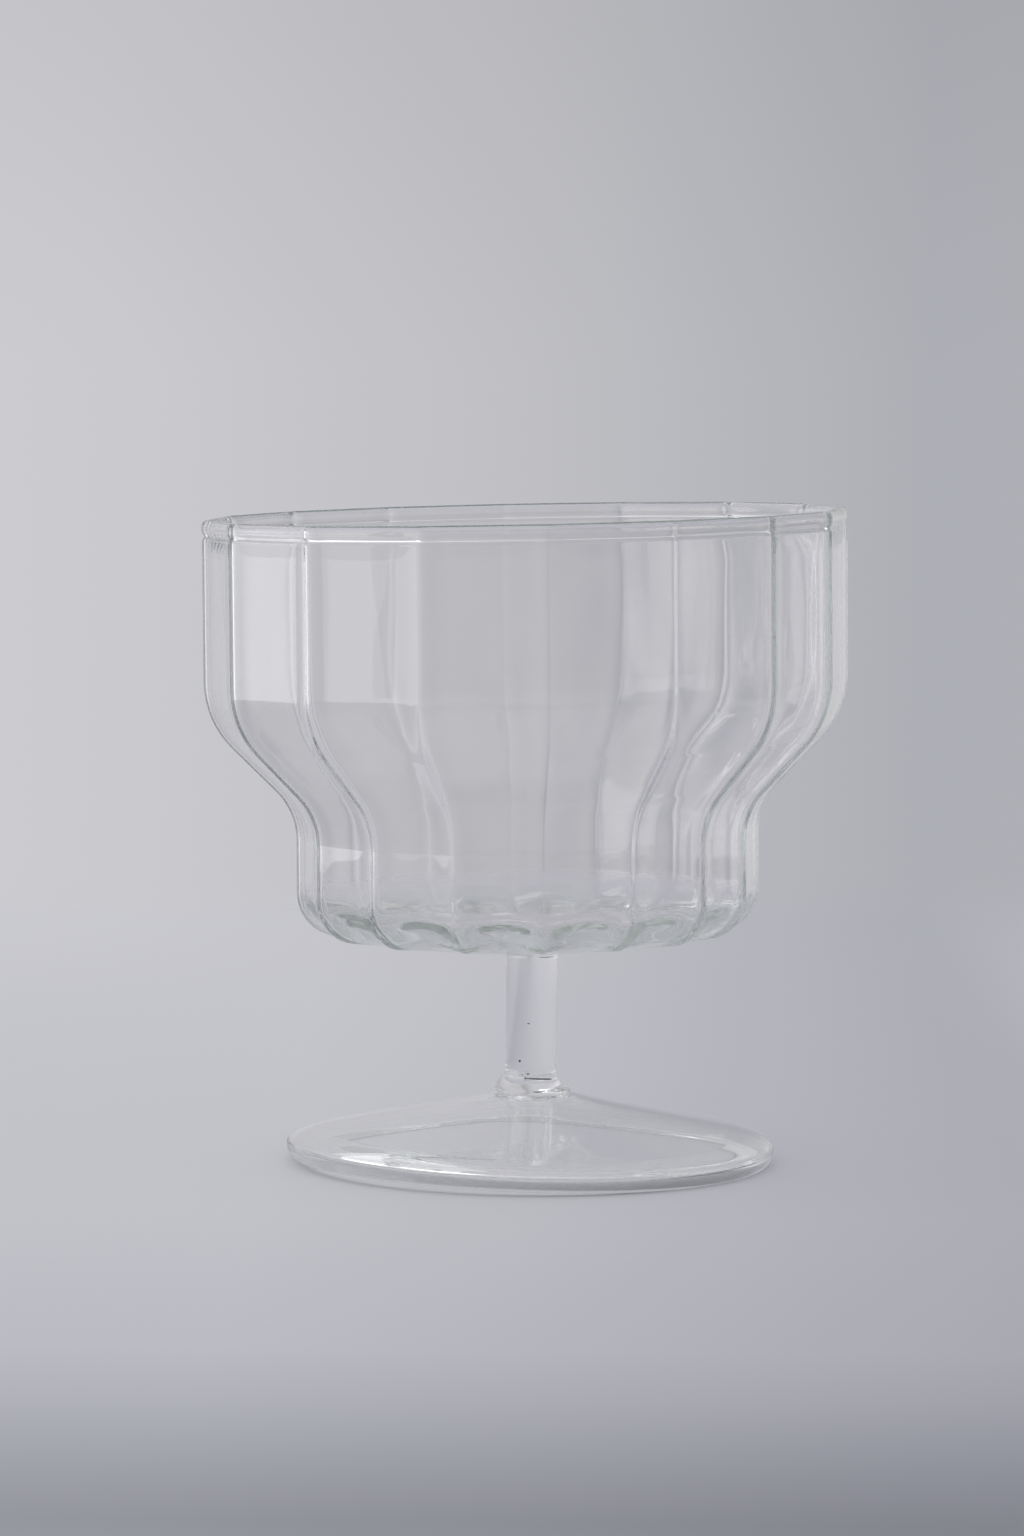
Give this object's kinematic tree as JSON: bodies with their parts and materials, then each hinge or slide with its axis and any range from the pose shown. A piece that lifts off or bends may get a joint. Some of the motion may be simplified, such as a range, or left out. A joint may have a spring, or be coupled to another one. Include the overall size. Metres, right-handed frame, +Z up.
{
  "type": "ice cream cup",
  "caption": "Clear glass ice cream cup: a fluted bowl with a stepped-in waist, on a short solid stem and a wide hollow domed foot.",
  "frame": {"origin": "on the table, under the middle of the outer box; the foot's centre is 1.33 mm from it towards +X, because the bowl leans slightly towards -X", "axes": "+Z up from the table; -Y faces the viewer of the picture and +X is on the viewer's right; the first rib stands 3.9 degrees from -Y towards +X"},
  "size_m": [0.0904, 0.09, 0.092],
  "materials": {
    "bowl_glass": "clear blown borosilicate glass, softly wavy",
    "stem_glass": "clear solid rod glass, flame polished",
    "foot_glass": "clear thin blown glass with a rolled, faintly green edge"
  },
  "bodies": {
    "root": {"bowl": "bowl_glass", "rim_bead": "bowl_glass", "bowl_stem_seal": "stem_glass", "stem": "stem_glass", "foot_collar": "stem_glass", "foot": "foot_glass", "foot_edge_bead": "foot_glass"}
  },
  "joints": []
}
